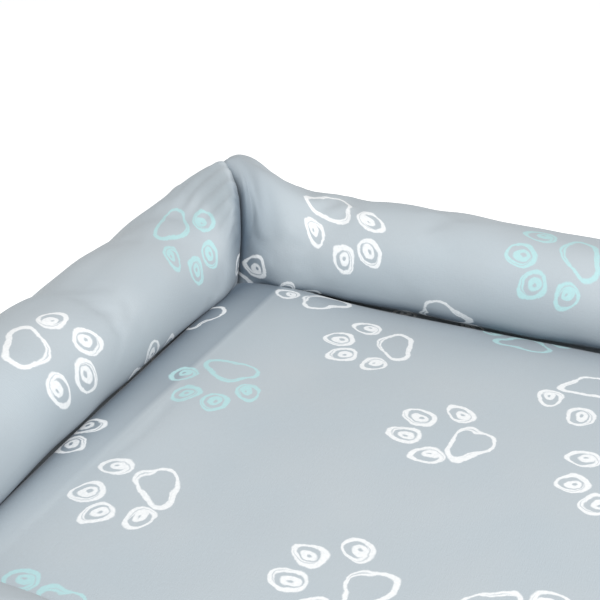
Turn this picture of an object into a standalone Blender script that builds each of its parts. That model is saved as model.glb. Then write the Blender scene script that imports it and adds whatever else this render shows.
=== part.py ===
"""Pet cushion bed: four stuffed walls on a flat base, round a loose zipped cushion.

+Z is up, +X runs along the long side and +Y points to the back. The origin is under the
middle of the bed, on the surface that it stands on. Run it in Blender 4.5.
"""

import math

import bmesh
import bpy
from mathutils import Vector

# ---- driving dimensions, in metres ----
BED_LENGTH = 0.90        # over the walls, along X
BED_WIDTH = 0.70         # over the walls, along Y
WALL_WIDTH = 0.112       # a wall where it is thickest
WALL_HEIGHT = 0.133      # crest of a wall, away from its ends
WAIST_HEIGHT = 0.077     # height at which a wall is thickest
FOOT_WIDTH = 0.080       # a wall where it stands on the base
ENTRY_HEIGHT = 0.105     # crest at the middle of the front wall
ENTRY_REACH = 0.20       # how far the front wall's dip reaches each way
CORNER_HEIGHT = 0.179    # tip of a corner seam
CORNER_RISE = 0.030      # how much higher a wall's crest is beside a corner
RISE_REACH = 0.15        # how far from a corner a wall is raised
PINCH_REACH = 0.06       # how far from a corner a wall is pinched

FABRIC = 0.0015          # wall cover, quilted to a thin wadding
GAP = 0.0003             # between pieces that touch
FILL_GAP = 0.001         # between a wall's stuffing and its cover
CORNER_FILL_GAP = 0.005  # the same where a corner is pinched, and the stuffing thins out
BOTTOM_SHEET = 0.0015
BASE_WADDING = 0.008
BASE_LINING = 0.0012
SHEET_MARGIN = 0.002     # bottom sheet past the walls' outer feet
WELL_MARGIN = 0.007      # between the walls' inner feet and the well's floor
SHEET_CORNER = 0.012     # radius of the bottom sheet's corners in plan
WELL_CORNER = 0.018      # the same for the well's wadding and lining

CUSHION_LENGTH = 0.644
CUSHION_WIDTH = 0.448
CUSHION_TOP = 0.055      # height of the cushion's top above the floor
CUSHION_CORNER = 0.050   # radius in plan
CUSHION_EDGE = 0.014     # radius of its top and bottom edges
CUSHION_FABRIC = 0.0012
CASE_FABRIC = 0.0008

ZIP_LENGTH = 0.48
TAPE_WIDTH = 0.009
TAPE_OVERHANG = 0.010    # tape past the end of the teeth
TAPE_THICKNESS = 0.0006
COIL_WIDTH = 0.0020      # one half of the teeth
COIL_DEPTH = 0.0014
STOP_SIZE = (0.003, 0.0016, 0.0050)
SLIDER_LENGTH = 0.010
SLIDER_WIDTH = 0.0094
SLIDER_PLATE = 0.0012
SLIDER_FLANGE = 0.0018
SLIDER_FROM_STOP = 0.002
LUG_WIDTH = 0.0016
LUG_WALL = 0.0005        # metal round the lug's bore
PIN_RADIUS = 0.0004
PULL_LENGTH = 0.0115     # from its hinge to its tip
PULL_WIDTH = 0.0060
PULL_DEPTH = 0.0014
ARM_WIDTH = 0.0012
ARM_REACH = 0.0030       # from the hinge to where the arms meet
PULL_SHOULDER = 0.002    # over which the pull widens past its arms
PULL_CHAMFER = 0.0012    # at the corners of its tip
SMALL_BEVEL = 0.0003     # on the edges of the teeth and the stops

LABEL_SIZE = (0.020, 0.0006, 0.018)
LABEL_FROM_ZIP = 0.022   # to the middle of the label

# ---- places worked out from them ----
FOOT_Z = BOTTOM_SHEET + GAP
LINING_Z = FOOT_Z + BASE_WADDING + GAP
CUSHION_BOTTOM = LINING_Z + BASE_LINING + GAP
SEAM_Z = (CUSHION_BOTTOM + CUSHION_TOP) / 2
REAR_Y = CUSHION_WIDTH / 2
MITRE_GAP = GAP
WALL_MIDDLE = WALL_WIDTH / 2
INNER_FOOT = WALL_MIDDLE + FOOT_WIDTH / 2
OUTER_FOOT = WALL_MIDDLE - FOOT_WIDTH / 2
CORNER_TIP = 0.82 * WALL_WIDTH       # how far in from the outer face the tip stands
CORNER_LEAN = 1.07 * WALL_WIDTH      # how far in the corner seam leans over the well
CORNER_SHOULDER = 0.82 * CORNER_HEIGHT
SEAM_CURVE = 1.4                     # how late the outer corner seam leans in
TIP_ROUNDING = 0.35                  # share of the inner corner seam that rounds over the tip
FILL_PINCH_REACH = 1.5 * PINCH_REACH
SIDE_POINTS = 8                      # points up each side of a wall's section
STATION_DISTANCES = (0.15, 0.12, 0.09, 0.062, 0.045, 0.028, 0.012, 0.0)   # from a corner
MIDDLE_STATIONS = 4                  # from a wall's middle to the first of those
PLATE_ROUND = 5                      # segments round a plate's corner
CUSHION_ROUND = 6                    # segments round the cushion's corner in plan
EDGE_ROUND = 4                       # segments round its top and bottom edges
PIN_SIDES = 12
FLAT = 1e-6                          # heights closer than this are the same

FABRIC_COLOUR = (0.50, 0.57, 0.61)
LINING_COLOUR = (0.36, 0.41, 0.45)
BASE_COLOUR = (0.10, 0.11, 0.12)
FILL_COLOUR = (0.85, 0.85, 0.83)
CASE_COLOUR = (0.80, 0.80, 0.79)
TAPE_COLOUR = (0.42, 0.48, 0.52)
COIL_COLOUR = (0.38, 0.44, 0.48)
METAL_COLOUR = (0.62, 0.63, 0.64)
LABEL_COLOUR = (0.82, 0.82, 0.80)


def clear_scene():
    for item in list(bpy.data.objects):
        bpy.data.objects.remove(item, do_unlink=True)


def make_collection(name):
    collection = bpy.data.collections.new(name)
    bpy.context.scene.collection.children.link(collection)
    return collection


def make_material(name, colour, roughness=0.9, metallic=0.0):
    material = bpy.data.materials.new(name)
    material.use_nodes = True
    shader = material.node_tree.nodes["Principled BSDF"]
    shader.inputs["Base Color"].default_value = (*colour, 1.0)
    shader.inputs["Roughness"].default_value = roughness
    shader.inputs["Metallic"].default_value = metallic
    return material


def add_part(name, mesh, material, location=(0, 0, 0)):
    part = bpy.data.objects.new(name, mesh)
    part.location = location
    mesh.materials.append(material)
    PARTS.objects.link(part)
    return part


def finish_mesh(name, bm):
    bmesh.ops.recalc_face_normals(bm, faces=bm.faces)
    mesh = bpy.data.meshes.new(name)
    bm.to_mesh(mesh)
    bm.free()
    return mesh


def smooth(mesh, angle=35):
    mesh.shade_smooth()
    mesh.set_sharp_from_angle(angle=math.radians(angle))


def fade(distance, reach):
    """1 at distance 0, easing down to 0 at reach."""
    t = min(max(distance / reach, 0.0), 1.0)
    return 1 - t * t * (3 - 2 * t)


def box(size):
    bm = bmesh.new()
    bmesh.ops.create_cube(bm, size=1.0)
    bmesh.ops.scale(bm, vec=size, verts=bm.verts)
    return bm


def bevel_box(part, width, segments=2):
    bevel = part.modifiers.new("rounded edges", "BEVEL")
    bevel.width = width
    bevel.segments = segments
    return part


def rounded_edges(bm, chosen, radius, segments):
    bmesh.ops.bevel(bm, geom=[e for e in bm.edges if chosen(e)], offset=radius,
                    segments=segments, profile=0.5, affect="EDGES", clamp_overlap=True)


def upright(edge):
    a, b = (v.co for v in edge.verts)
    return abs(a.z - b.z) > 0.9 * (a - b).length


# ---- walls ----

def round_side(q, crest):
    """Half of a stuffed wall's section: q is 0 at the foot and 1 at the crest.

    Gives how far out from the middle, and how high.
    """
    half = WALL_WIDTH / 2
    foot_angle = math.acos(FOOT_WIDTH / WALL_WIDTH)
    angle = -foot_angle + (math.pi / 2 + foot_angle) * q
    if angle > 0:
        rise = crest - WAIST_HEIGHT
    else:
        rise = (WAIST_HEIGHT - FOOT_Z) / math.sin(foot_angle)
    return half * math.cos(angle), WAIST_HEIGHT + rise * math.sin(angle)


def corner_outer(q):
    """The corner's outer seam: it leans in as it rises from the foot to the tip."""
    across = OUTER_FOOT + (CORNER_TIP - OUTER_FOOT) * q ** SEAM_CURVE
    return across, FOOT_Z + (CORNER_HEIGHT - FOOT_Z) * q


def corner_inner(q):
    """The corner's inner seam: q is 0 at the tip; it rounds over and drops to the foot."""
    if q < TIP_ROUNDING:
        turn = math.pi / 2 * q / TIP_ROUNDING
        across = CORNER_TIP + (CORNER_LEAN - CORNER_TIP) * math.sin(turn)
        return across, CORNER_SHOULDER + (CORNER_HEIGHT - CORNER_SHOULDER) * math.cos(turn)
    drop = (q - TIP_ROUNDING) / (1 - TIP_ROUNDING)
    across = CORNER_LEAN + (INNER_FOOT - CORNER_LEAN) * drop
    return across, CORNER_SHOULDER + (FOOT_Z - CORNER_SHOULDER) * drop


def wall_section(from_corner, crest):
    """A wall's section as (in from the outer face, up), outer foot first, inner foot last."""
    crest += CORNER_RISE * fade(from_corner, RISE_REACH)
    pinch = fade(from_corner, PINCH_REACH)
    points = []
    for i in range(SIDE_POINTS):
        q = i / SIDE_POINTS
        out, up = round_side(q, crest)
        corner = corner_outer(q)
        points.append(((1 - pinch) * (WALL_MIDDLE - out) + pinch * corner[0],
                       (1 - pinch) * up + pinch * corner[1]))
    for i in range(SIDE_POINTS + 1):
        q = i / SIDE_POINTS
        out, up = round_side(1 - q, crest)
        corner = corner_inner(q)
        points.append(((1 - pinch) * (WALL_MIDDLE + out) + pinch * corner[0],
                       (1 - pinch) * up + pinch * corner[1]))
    return points


def inset_section(points, depth):
    """The same section, depth further inside; its feet stay on the base."""
    result = []
    for i, here in enumerate(points):
        before = Vector(points[max(i - 1, 0)])
        after = Vector(points[min(i + 1, len(points) - 1)])
        along = (after - before).normalized()
        inward = Vector((along.y, -along.x))
        moved = Vector(here) + depth * inward
        if i in (0, len(points) - 1):
            moved.y = here[1]
        result.append((moved.x, moved.y))
    return result


def stations(inner_half):
    """Places along a wall from -1 to 1, closer together near its ends, where it changes."""
    near_end = [1 - distance / inner_half for distance in STATION_DISTANCES]
    middle = [near_end[0] * k / MIDDLE_STATIONS for k in range(MIDDLE_STATIONS)]
    half = middle + near_end
    return [-t for t in reversed(half[1:])] + half


def entry_crest(x):
    dip = 0.5 + 0.5 * math.cos(math.pi * min(abs(x) / ENTRY_REACH, 1.0))
    return WALL_HEIGHT - (WALL_HEIGHT - ENTRY_HEIGHT) * dip


class Wall:
    """One side of the rim: how long it is, how far out it stands and which way it faces."""

    def __init__(self, name, length, across, turn, low_entry=False):
        self.name = name
        self.half = length / 2
        self.out = across / 2
        self.turn = turn
        self.low_entry = low_entry
        self.inner_half = length / 2 - WALL_WIDTH

    def from_corner(self, t):
        return (1 - abs(t)) * self.inner_half

    def ring(self, t, depth):
        """The section at station t, depth inside the wall's surface, in the bed's frame."""
        crest = entry_crest(t * self.inner_half) if self.low_entry else WALL_HEIGHT
        section = wall_section(self.from_corner(t), crest)
        cos, sin = math.cos(self.turn), math.sin(self.turn)
        ring = []
        for across, up in inset_section(section, depth):
            x = t * (self.half - across - MITRE_GAP)
            y = self.out - across
            ring.append((x * cos - y * sin, x * sin + y * cos, up))
        return ring


def loft(rings):
    """A tube over closed rings of equal count, open at both ends."""
    bm = bmesh.new()
    rows = [[bm.verts.new(point) for point in ring] for ring in rings]
    count = len(rows[0])
    for low, high in zip(rows, rows[1:]):
        for i in range(count):
            j = (i + 1) % count
            bm.faces.new((low[i], low[j], high[j], high[i]))
    return bm, rows


def wall_cover(wall, material):
    """A sewn cover, open underneath and at its mitred ends."""
    rings = [wall.ring(t, 0.0) + wall.ring(t, FABRIC)[::-1] for t in stations(wall.inner_half)]
    bm, rows = loft(rings)
    for row in (rows[0], rows[-1]):
        for i in range(len(row) // 2 - 1):
            bm.faces.new((row[i], row[i + 1], row[-2 - i], row[-1 - i]))
    mesh = finish_mesh(wall.name + "_cover", bm)
    smooth(mesh)
    return add_part(wall.name + "_cover", mesh, material)


def wall_fill(wall, material):
    """The fibre stuffing that a cover holds, one solid with a flat underside."""
    rings = []
    for t in stations(wall.inner_half):
        pinch = fade(wall.from_corner(t), FILL_PINCH_REACH)
        gap = FILL_GAP + (CORNER_FILL_GAP - FILL_GAP) * pinch
        rings.append(wall.ring(t, FABRIC + gap))
    bm, rows = loft(rings)
    bm.faces.new(rows[0])
    bm.faces.new(rows[-1])
    mesh = finish_mesh(wall.name + "_fill", bm)
    smooth(mesh)
    return add_part(wall.name + "_fill", mesh, material)


# ---- base ----

def plate(name, length, width, low, thickness, corner, material):
    bm = box((length, width, thickness))
    rounded_edges(bm, upright, corner, PLATE_ROUND)
    mesh = finish_mesh(name, bm)
    return add_part(name, mesh, material, (0, 0, low + thickness / 2))


def build_base(bottom_fabric, wadding, lining):
    around_feet = 2 * (OUTER_FOOT - SHEET_MARGIN)
    plate("base_bottom_sheet", BED_LENGTH - around_feet, BED_WIDTH - around_feet,
          0.0, BOTTOM_SHEET, SHEET_CORNER, bottom_fabric)
    between_feet = 2 * (INNER_FOOT + WELL_MARGIN)
    length = BED_LENGTH - between_feet
    width = BED_WIDTH - between_feet
    plate("base_wadding", length, width, FOOT_Z, BASE_WADDING, WELL_CORNER, wadding)
    plate("base_lining", length, width, LINING_Z, BASE_LINING, WELL_CORNER, lining)


# ---- cushion ----

def panel(name, inset, thickness, upper, material):
    """Half of a sewn case: a tray of fabric, open along the seam at mid height."""
    seam_gap = GAP / 2
    height = CUSHION_TOP - SEAM_Z - inset - seam_gap
    bm = box((CUSHION_LENGTH - 2 * inset, CUSHION_WIDTH - 2 * inset, height))
    rounded_edges(bm, upright, CUSHION_CORNER - inset, CUSHION_ROUND)
    outer_z = height / 2 if upper else -height / 2
    open_face = [f for f in bm.faces if abs(f.calc_center_median().z + outer_z) < FLAT]
    bmesh.ops.delete(bm, geom=open_face, context="FACES_ONLY")
    rounded_edges(bm, lambda e: all(abs(v.co.z - outer_z) < FLAT for v in e.verts),
                  CUSHION_EDGE - inset, EDGE_ROUND)
    mesh = finish_mesh(name, bm)
    middle = SEAM_Z + (seam_gap + height / 2 if upper else -seam_gap - height / 2)
    part = add_part(name, mesh, material, (0, 0, middle))
    cloth = part.modifiers.new("cloth thickness", "SOLIDIFY")
    cloth.thickness = thickness
    cloth.offset = -1
    cloth.use_even_offset = True
    smooth(mesh)
    return part


def cushion_fill(inset, material):
    height = CUSHION_TOP - CUSHION_BOTTOM - 2 * inset
    bm = box((CUSHION_LENGTH - 2 * inset, CUSHION_WIDTH - 2 * inset, height))
    rounded_edges(bm, upright, CUSHION_CORNER - inset, CUSHION_ROUND)
    rounded_edges(bm, lambda e: abs(e.verts[0].co.z - e.verts[1].co.z) < FLAT,
                  CUSHION_EDGE - inset, EDGE_ROUND)
    mesh = finish_mesh("cushion_fill", bm)
    smooth(mesh)
    return add_part("cushion_fill", mesh, material, (0, 0, (CUSHION_TOP + CUSHION_BOTTOM) / 2))


def build_cushion(fabric, case, stuffing):
    panel("cushion_top_panel", 0.0, CUSHION_FABRIC, True, fabric)
    panel("cushion_bottom_panel", 0.0, CUSHION_FABRIC, False, fabric)
    case_inset = CUSHION_FABRIC + GAP
    panel("inner_case_top", case_inset, CASE_FABRIC, True, case)
    panel("inner_case_bottom", case_inset, CASE_FABRIC, False, case)
    cushion_fill(case_inset + CASE_FABRIC + GAP, stuffing)


# ---- zip along the cushion's rear edge ----

TAPE_Y = REAR_Y + GAP + TAPE_THICKNESS / 2
COIL_Y = REAR_Y + 2 * GAP + TAPE_THICKNESS + COIL_DEPTH / 2
STOP_Y = REAR_Y + 2 * GAP + TAPE_THICKNESS + STOP_SIZE[1] / 2
SLIDER_BACK_Y = REAR_Y + 2 * GAP + TAPE_THICKNESS         # where its flanges end
SLIDER_INNER_Y = SLIDER_BACK_Y + COIL_DEPTH + GAP         # inner face of its plate
SLIDER_OUTER_Y = SLIDER_INNER_Y + SLIDER_PLATE
HINGE_Y = SLIDER_OUTER_Y + GAP + PULL_DEPTH / 2
SLIDER_X = ZIP_LENGTH / 2 - SLIDER_FROM_STOP - SLIDER_LENGTH / 2


def build_tape(name, side, material):
    mesh = finish_mesh(name, box((ZIP_LENGTH + 2 * TAPE_OVERHANG, TAPE_THICKNESS, TAPE_WIDTH)))
    add_part(name, mesh, material, (0, TAPE_Y, SEAM_Z + side * (GAP + TAPE_WIDTH / 2)))


def build_coil(name, side, material):
    mesh = finish_mesh(name, box((ZIP_LENGTH, COIL_DEPTH, COIL_WIDTH)))
    place = (0, COIL_Y, SEAM_Z + side * (GAP / 2 + COIL_WIDTH / 2))
    bevel_box(add_part(name, mesh, material, place), SMALL_BEVEL)


def build_stop(name, side, material):
    mesh = finish_mesh(name, box(STOP_SIZE))
    place = (side * (ZIP_LENGTH / 2 + GAP + STOP_SIZE[0] / 2), STOP_Y, SEAM_Z)
    bevel_box(add_part(name, mesh, material, place), SMALL_BEVEL)


def outline_solid(outline, depth, axis):
    """A flat outline drawn out by depth along axis, on both sides of its own plane."""
    bm = bmesh.new()
    step = Vector(axis) * depth
    face = bm.faces.new([bm.verts.new(Vector(point) - step / 2) for point in outline])
    drawn = bmesh.ops.extrude_face_region(bm, geom=[face])
    moved = [v for v in drawn["geom"] if isinstance(v, bmesh.types.BMVert)]
    bmesh.ops.translate(bm, vec=step, verts=moved)
    return bm


def add_cutter(name, part, mesh, location, operation):
    """Cuts a part, or joins to it, with a shape that isn't a part itself."""
    cutter = bpy.data.objects.new(name, mesh)
    cutter.location = location
    cutter.hide_render = True
    cutter.display_type = "WIRE"
    CUTTERS.objects.link(cutter)
    step = part.modifiers.new(name, "BOOLEAN")
    step.object = cutter
    step.operation = operation
    step.solver = "EXACT"


def build_slider(material):
    """A channel that runs over the teeth, with a lug for the pull's pin."""
    half = SLIDER_WIDTH / 2
    groove = half - SLIDER_FLANGE
    back = SLIDER_BACK_Y - HINGE_Y
    inner = SLIDER_INNER_Y - HINGE_Y
    outer = SLIDER_OUTER_Y - HINGE_Y
    outline = [(0, back, -half), (0, back, -groove), (0, inner, -groove), (0, inner, groove),
               (0, back, groove), (0, back, half), (0, outer, half), (0, outer, -half)]
    bm = outline_solid(outline, SLIDER_LENGTH, (1, 0, 0))
    slider = add_part("zip_slider", finish_mesh("zip_slider", bm), material,
                      (SLIDER_X, HINGE_Y, SEAM_Z))
    lug_top = PIN_RADIUS + GAP + LUG_WALL
    lug_base = outer - SLIDER_PLATE / 2
    lug = box((2 * lug_top, lug_top - lug_base, LUG_WIDTH))
    lug_place = (SLIDER_X, HINGE_Y + (lug_top + lug_base) / 2, SEAM_Z)
    add_cutter("lug_shape", slider, finish_mesh("lug_shape", lug), lug_place, "UNION")
    bore = bmesh.new()
    bmesh.ops.create_cone(bore, cap_ends=True, segments=PIN_SIDES, radius1=PIN_RADIUS + GAP,
                          radius2=PIN_RADIUS + GAP, depth=4 * LUG_WIDTH)
    add_cutter("lug_bore", slider, finish_mesh("lug_bore", bore),
               (SLIDER_X, HINGE_Y, SEAM_Z), "DIFFERENCE")
    return slider


def build_pull(material):
    """A short tab whose two arms straddle the lug and carry a pin through it."""
    arm_gap = LUG_WIDTH / 2 + GAP
    arm_end = arm_gap + ARM_WIDTH
    half = PULL_WIDTH / 2
    heel = PULL_DEPTH / 2
    shoulder = ARM_REACH + PULL_SHOULDER
    tip = PULL_LENGTH
    outline = [(-heel, 0, -arm_end), (-heel, 0, -arm_gap), (ARM_REACH, 0, -arm_gap),
               (ARM_REACH, 0, arm_gap), (-heel, 0, arm_gap), (-heel, 0, arm_end),
               (ARM_REACH, 0, arm_end), (shoulder, 0, half),
               (tip - PULL_CHAMFER, 0, half), (tip, 0, half - PULL_CHAMFER),
               (tip, 0, -half + PULL_CHAMFER), (tip - PULL_CHAMFER, 0, -half),
               (shoulder, 0, -half), (ARM_REACH, 0, -arm_end)]
    bm = outline_solid(outline, PULL_DEPTH, (0, 1, 0))
    place = (SLIDER_X, HINGE_Y, SEAM_Z)
    pull = add_part("zip_pull", finish_mesh("zip_pull", bm), material, place)
    pin = bmesh.new()
    bmesh.ops.create_cone(pin, cap_ends=True, segments=PIN_SIDES, radius1=PIN_RADIUS,
                          radius2=PIN_RADIUS, depth=2 * arm_gap + ARM_WIDTH)
    add_cutter("pin_shape", pull, finish_mesh("pin_shape", pin), place, "UNION")
    return pull


def build_zip(tape, coil, metal):
    build_tape("zip_tape_upper", 1, tape)
    build_tape("zip_tape_lower", -1, tape)
    build_coil("zip_coil_upper", 1, coil)
    build_coil("zip_coil_lower", -1, coil)
    build_stop("zip_top_stop", 1, metal)
    build_stop("zip_bottom_stop", -1, metal)
    build_slider(metal)
    build_pull(metal)


def build_label(material):
    """A blank care label, held in the cushion's rear seam."""
    mesh = finish_mesh("care_label", box(LABEL_SIZE))
    x = -(ZIP_LENGTH / 2 + LABEL_FROM_ZIP)
    y = REAR_Y + GAP + LABEL_SIZE[1] / 2
    add_part("care_label", mesh, material, (x, y, SEAM_Z - LABEL_SIZE[2] / 2))


clear_scene()
PARTS = make_collection("pet_cushion_bed")
CUTTERS = make_collection("cutters")

WALL_FABRIC = make_material("wall_fabric", FABRIC_COLOUR)
CUSHION_CLOTH = make_material("cushion_fabric", FABRIC_COLOUR)
STUFFING = make_material("stuffing", FILL_COLOUR, 1.0)
METAL = make_material("zip_metal", METAL_COLOUR, 0.35, 1.0)

build_base(make_material("base_fabric", BASE_COLOUR), STUFFING,
           make_material("lining_fabric", LINING_COLOUR))
for side in (
    Wall("back_bolster", BED_LENGTH, BED_WIDTH, 0.0),
    Wall("left_bolster", BED_WIDTH, BED_LENGTH, math.pi / 2),
    Wall("right_bolster", BED_WIDTH, BED_LENGTH, -math.pi / 2),
    Wall("front_bolster", BED_LENGTH, BED_WIDTH, math.pi, low_entry=True),
):
    wall_cover(side, WALL_FABRIC)
    wall_fill(side, STUFFING)
build_cushion(CUSHION_CLOTH, make_material("inner_case", CASE_COLOUR), STUFFING)
build_zip(make_material("zip_tape", TAPE_COLOUR), make_material("zip_teeth", COIL_COLOUR), METAL)
build_label(make_material("label", LABEL_COLOUR))
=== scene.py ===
"""Looks of the pet cushion bed: stuffed walls, cushion, zip and base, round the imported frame.

Everything is in metres, in the frame's own axes: +X along the bed, +Y to the back, +Z up.
"""

import math

import bpy
import numpy as np
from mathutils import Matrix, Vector, noise


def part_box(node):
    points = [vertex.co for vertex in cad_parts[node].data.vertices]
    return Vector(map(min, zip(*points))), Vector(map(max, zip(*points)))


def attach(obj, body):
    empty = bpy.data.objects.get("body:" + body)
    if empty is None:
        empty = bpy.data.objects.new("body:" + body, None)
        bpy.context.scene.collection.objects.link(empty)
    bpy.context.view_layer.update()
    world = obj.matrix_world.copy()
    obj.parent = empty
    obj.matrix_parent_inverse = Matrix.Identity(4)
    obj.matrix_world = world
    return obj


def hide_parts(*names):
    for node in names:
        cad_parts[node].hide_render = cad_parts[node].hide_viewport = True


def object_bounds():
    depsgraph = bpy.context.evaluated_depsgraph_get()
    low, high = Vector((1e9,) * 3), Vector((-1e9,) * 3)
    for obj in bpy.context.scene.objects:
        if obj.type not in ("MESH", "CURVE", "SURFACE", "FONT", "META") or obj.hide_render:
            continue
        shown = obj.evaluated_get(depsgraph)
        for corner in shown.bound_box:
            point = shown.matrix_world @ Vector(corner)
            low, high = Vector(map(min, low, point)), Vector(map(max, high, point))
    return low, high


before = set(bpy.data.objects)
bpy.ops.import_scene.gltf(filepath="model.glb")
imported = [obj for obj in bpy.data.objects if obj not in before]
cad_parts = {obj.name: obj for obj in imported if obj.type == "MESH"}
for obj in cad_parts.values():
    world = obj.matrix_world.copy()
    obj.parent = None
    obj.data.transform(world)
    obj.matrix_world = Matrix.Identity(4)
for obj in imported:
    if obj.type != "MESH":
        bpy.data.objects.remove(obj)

CAD_BOX = [list(corner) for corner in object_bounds()]

# ---- the bed's places, from the frame ----
BED_HIGH = Vector(CAD_BOX[1])
HALF_LENGTH = BED_HIGH.x
HALF_WIDTH = BED_HIGH.y
CORNER_TOP = BED_HIGH.z
FOOT_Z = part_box("back_bolster_cover")[0].z
WELL_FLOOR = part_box("base_lining")[1].z
CUSHION_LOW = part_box("cushion_bottom_panel")[0].z
CUSHION_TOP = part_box("cushion_top_panel")[1].z
SEAM_Z = (CUSHION_LOW + CUSHION_TOP) / 2

# ---- sizes of the soft shapes ----
WALL_WIDTH = 0.112
WAIST_Z = CUSHION_TOP + 0.029  # where a wall is thickest
CREST_Z = CUSHION_TOP + 0.076  # top of a wall, away from the corners
CONTACT = 0.1075  # from a wall's outer face to where the cushion meets it
PINCH_REACH = 0.045  # how far from a corner a wall starts to turn into its seam
NARROW_REACH = 0.034
LONG_LEAN = 0.009  # how far a wall's face leans into the well near a corner
SIDE_LEAN = 0.0135
MITRE_GAP = 0.0001
LEAN_REACH = 0.055
VALLEY = 0.016  # depth of the corner seam's valley
VALLEY_REACH = 0.02
VALLEY_FOOT = 0.11  # it is full this far above a wall's foot
MIDDLE_SHIFT = 0.012  # the tube's end is rounded about a point this far further in
TUCK = 0.003  # the wall turns under this far above the cushion
GIRTH_POINTS = 104
RING_STEP, FIRST_STEP, STEP_GROWTH = 0.0055, 0.0012, 0.07  # between a wall's rings
GAP = 0.0004


def fade(distance, reach):
    """1 at distance 0, easing down to 0 at reach; distance may be an array."""
    t = np.clip(distance / reach, 0.0, 1.0)
    return 1 - t * t * (3 - 2 * t)


def bump(value, centre, spread):
    """A bell curve round centre."""
    return np.exp(-((value - centre) / spread) ** 2)


def along(points, count):
    """count points evenly spaced on an open polyline, and its length."""
    points = np.asarray(points, float)
    steps = np.linalg.norm(np.diff(points, axis=0), axis=1)
    travelled = np.concatenate([[0], np.cumsum(steps)])
    wanted = np.linspace(0, travelled[-1], count)
    spaced = np.stack([np.interp(wanted, travelled, points[:, k]) for k in range(points.shape[1])],
                      axis=1)
    return spaced, travelled[-1]


def eased(points):
    """A polyline with its corners cut twice, for a smooth line past a few given points."""
    points = np.asarray(points, float)
    for _ in range(2):
        near = 0.75 * points[:-1] + 0.25 * points[1:]
        far = 0.25 * points[:-1] + 0.75 * points[1:]
        inner = np.stack([near, far], axis=1).reshape(-1, points.shape[1])
        points = np.concatenate([points[:1], inner, points[-1:]])
    return points


# ---- sections of a wall: (in from its outer face, up) ----

UNDER_Z = FOOT_Z + 0.0006
INNER_FOOT = 0.08  # where the inner side meets the base
OUTER_FOOT = 0.016
INNER_SIDE = eased([(INNER_FOOT, UNDER_Z), (0.084, 0.02), (0.088, 0.038), (0.0935, 0.05),
                    (0.1062, 0.0575), (0.1116, 0.071), (0.112, WAIST_Z + 0.004), (0.1095, 0.104),
                    (0.101, 0.118), (0.086, 0.1275), (0.07, CREST_Z), (0.056, CREST_Z)])
OUTER_SIDE = eased([(0.056, CREST_Z), (0.04, CREST_Z), (0.024, 0.126), (0.01, 0.115),
                    (0.0025, 0.099), (0.0, WAIST_Z), (0.0015, 0.062), (0.006, 0.036),
                    (0.0115, 0.014), (OUTER_FOOT, UNDER_Z)])

# the corner's seam, up its inner side to the tip, and down its outer side
SEAM_INNER = eased([(0.09, UNDER_Z), (0.098, 0.03), (0.1125, CUSHION_TOP),
                    (0.118, CUSHION_TOP + 0.035), (0.122, CUSHION_TOP + 0.072),
                    (0.1225, CUSHION_TOP + 0.096), (0.118, CUSHION_TOP + 0.11),
                    (0.109, CUSHION_TOP + 0.118), (0.0955, CORNER_TOP)])
SEAM_OUTER = eased([(0.0955, CORNER_TOP), (0.082, CUSHION_TOP + 0.112), (0.056, 0.135),
                    (0.033, 0.085), (0.02, 0.04), (0.014, UNDER_Z)])

INNER_COUNT = 44
OUTER_COUNT = 40
UNDER_COUNT = GIRTH_POINTS - INNER_COUNT - OUTER_COUNT + 3


def closed_section(inner, outer):
    """One ring of points: up the inner side, down the outer side, and back underneath."""
    inner, inner_length = along(inner, INNER_COUNT)
    outer, outer_length = along(outer, OUTER_COUNT)
    under, under_length = along([outer[-1], inner[0]], UNDER_COUNT)
    ring = np.concatenate([inner, outer[1:], under[1:-1]])
    return ring, (inner_length, outer_length, under_length)


MID_SECTION, MID_LENGTHS = closed_section(INNER_SIDE, OUTER_SIDE)
END_SECTION, _ = closed_section(SEAM_INNER, SEAM_OUTER)


def girth_places():
    """How far round the section each point lies, in metres of fabric, from the contact line."""
    inner, outer, under = MID_LENGTHS
    up = np.linspace(0, inner, INNER_COUNT)
    down = inner + np.linspace(0, outer, OUTER_COUNT)
    back = inner + outer + np.linspace(0, under, UNDER_COUNT)
    places = np.concatenate([up, down[1:], back[1:-1]])
    contact = np.interp(CUSHION_TOP + TUCK, MID_SECTION[:INNER_COUNT, 1], up)
    return places - contact


GIRTH = girth_places()


def ring_distances(span):
    """Distances of a wall's rings from a corner to its middle, closer together at the corner."""
    places = [0.0]
    while places[-1] < span:
        places.append(places[-1] + min(RING_STEP, FIRST_STEP + STEP_GROWTH * places[-1]))
    return np.array(places) * span / places[-1]


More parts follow.
